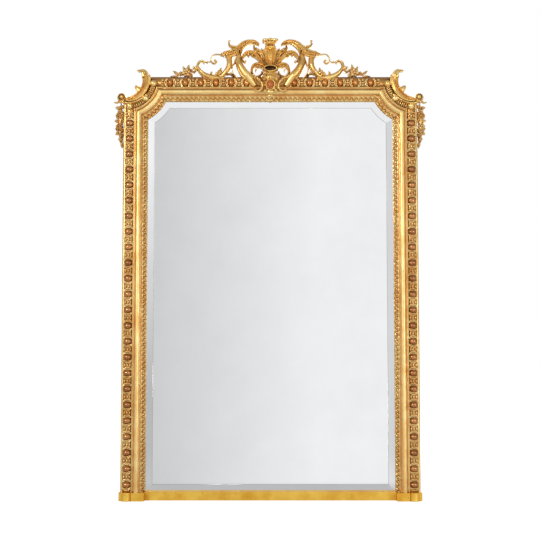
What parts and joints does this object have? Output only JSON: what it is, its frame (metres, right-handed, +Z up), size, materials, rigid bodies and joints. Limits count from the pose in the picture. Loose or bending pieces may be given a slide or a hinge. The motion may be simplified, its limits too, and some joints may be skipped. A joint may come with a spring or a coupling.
{
  "type": "trumeau mirror",
  "caption": "Gilded overmantel mirror with scooped top corners, egg-and-dart moulding, pierced carved crest and bevelled plate.",
  "frame": {"origin": "centre of the foot at the back plane's height zero: X on the symmetry axis, Y on the wall plane, Z on the mantel shelf", "axes": "+Z up, +X to the viewer's right, the front faces -Y"},
  "size_m": [1.1952, 0.11, 1.754],
  "materials": {
    "carcass_pine": "bare aged pine",
    "backboard_pine": "bare aged pine boards",
    "pad_felt": "felt",
    "silvered_plate": "bevelled and silvered",
    "steel_screw": "dull",
    "iron": "dark, lightly rusted",
    "cabochon": "burnished red bole",
    "foot_gilding": "rubbed gilding",
    "egg_gilding": "gilding worn to red bole",
    "carved_gilding": "carved and gilded",
    "moulding_gilding": "burnished gilding"
  },
  "bodies": {
    "frame": {"backboard_1": "backboard_pine", "backboard_2": "backboard_pine", "backboard_3": "backboard_pine", "backboard_4": "backboard_pine", "backboard_5": "backboard_pine", "backboard_screws": "steel_screw", "batten_screws": "steel_screw", "carcass_bottom_rail": "carcass_pine", "carcass_corner_left": "carcass_pine", "carcass_corner_right": "carcass_pine", "carcass_stile_left": "carcass_pine", "carcass_stile_right": "carcass_pine", "carcass_top_rail": "carcass_pine", "corner_scroll_left": "carved_gilding", "corner_scroll_right": "carved_gilding", "crest_bracket_screws": "steel_screw", "crest_brackets": "iron", "crest_cabochon": "cabochon", "crest_cartouche": "carved_gilding", "crest_palmette": "carved_gilding", "crest_scroll_left": "carved_gilding", "crest_scroll_right": "carved_gilding", "crest_spray_left": "carved_gilding", "crest_spray_right": "carved_gilding", "crest_wing_left": "carved_gilding", "crest_wing_right": "carved_gilding", "egg_and_dart_corner_left": "egg_gilding", "egg_and_dart_corner_right": "egg_gilding", "egg_and_dart_left": "egg_gilding", "egg_and_dart_right": "egg_gilding", "egg_and_dart_top": "egg_gilding", "garland_left": "carved_gilding", "garland_right": "carved_gilding", "glazing_blocks": "carcass_pine", "hanger_screws": "steel_screw", "hanging_batten": "carcass_pine", "mirror_plate": "silvered_plate", "outer_moulding_corner_left": "moulding_gilding", "outer_moulding_corner_right": "moulding_gilding", "outer_moulding_left": "moulding_gilding", "outer_moulding_right": "moulding_gilding", "outer_moulding_top": "moulding_gilding", "plinth_block_left": "foot_gilding", "plinth_block_right": "foot_gilding", "plinth_rail": "foot_gilding", "setting_pads": "pad_felt", "sight_moulding_corner_left": "moulding_gilding", "sight_moulding_corner_right": "moulding_gilding", "sight_moulding_left": "moulding_gilding", "sight_moulding_right": "moulding_gilding", "sight_moulding_top": "moulding_gilding", "strap_hanger_left": "iron", "strap_hanger_right": "iron", "torus_moulding_corner_left": "moulding_gilding", "torus_moulding_corner_right": "moulding_gilding", "torus_moulding_left": "moulding_gilding", "torus_moulding_right": "moulding_gilding", "torus_moulding_top": "moulding_gilding"},
    "ring_left": {"hanging_ring_left": "iron"},
    "ring_right": {"hanging_ring_right": "iron"}
  },
  "joints": [
    {"name": "ring_left_swing", "type": "hinge", "parent": "frame", "child": "ring_left", "pos_m": [-0.33, -0.0051, 1.297], "axis": [1, 0, 0], "range_deg": [0, 175]},
    {"name": "ring_right_swing", "type": "hinge", "parent": "frame", "child": "ring_right", "pos_m": [0.33, -0.0051, 1.297], "axis": [1, 0, 0], "range_deg": [0, 175]}
  ]
}
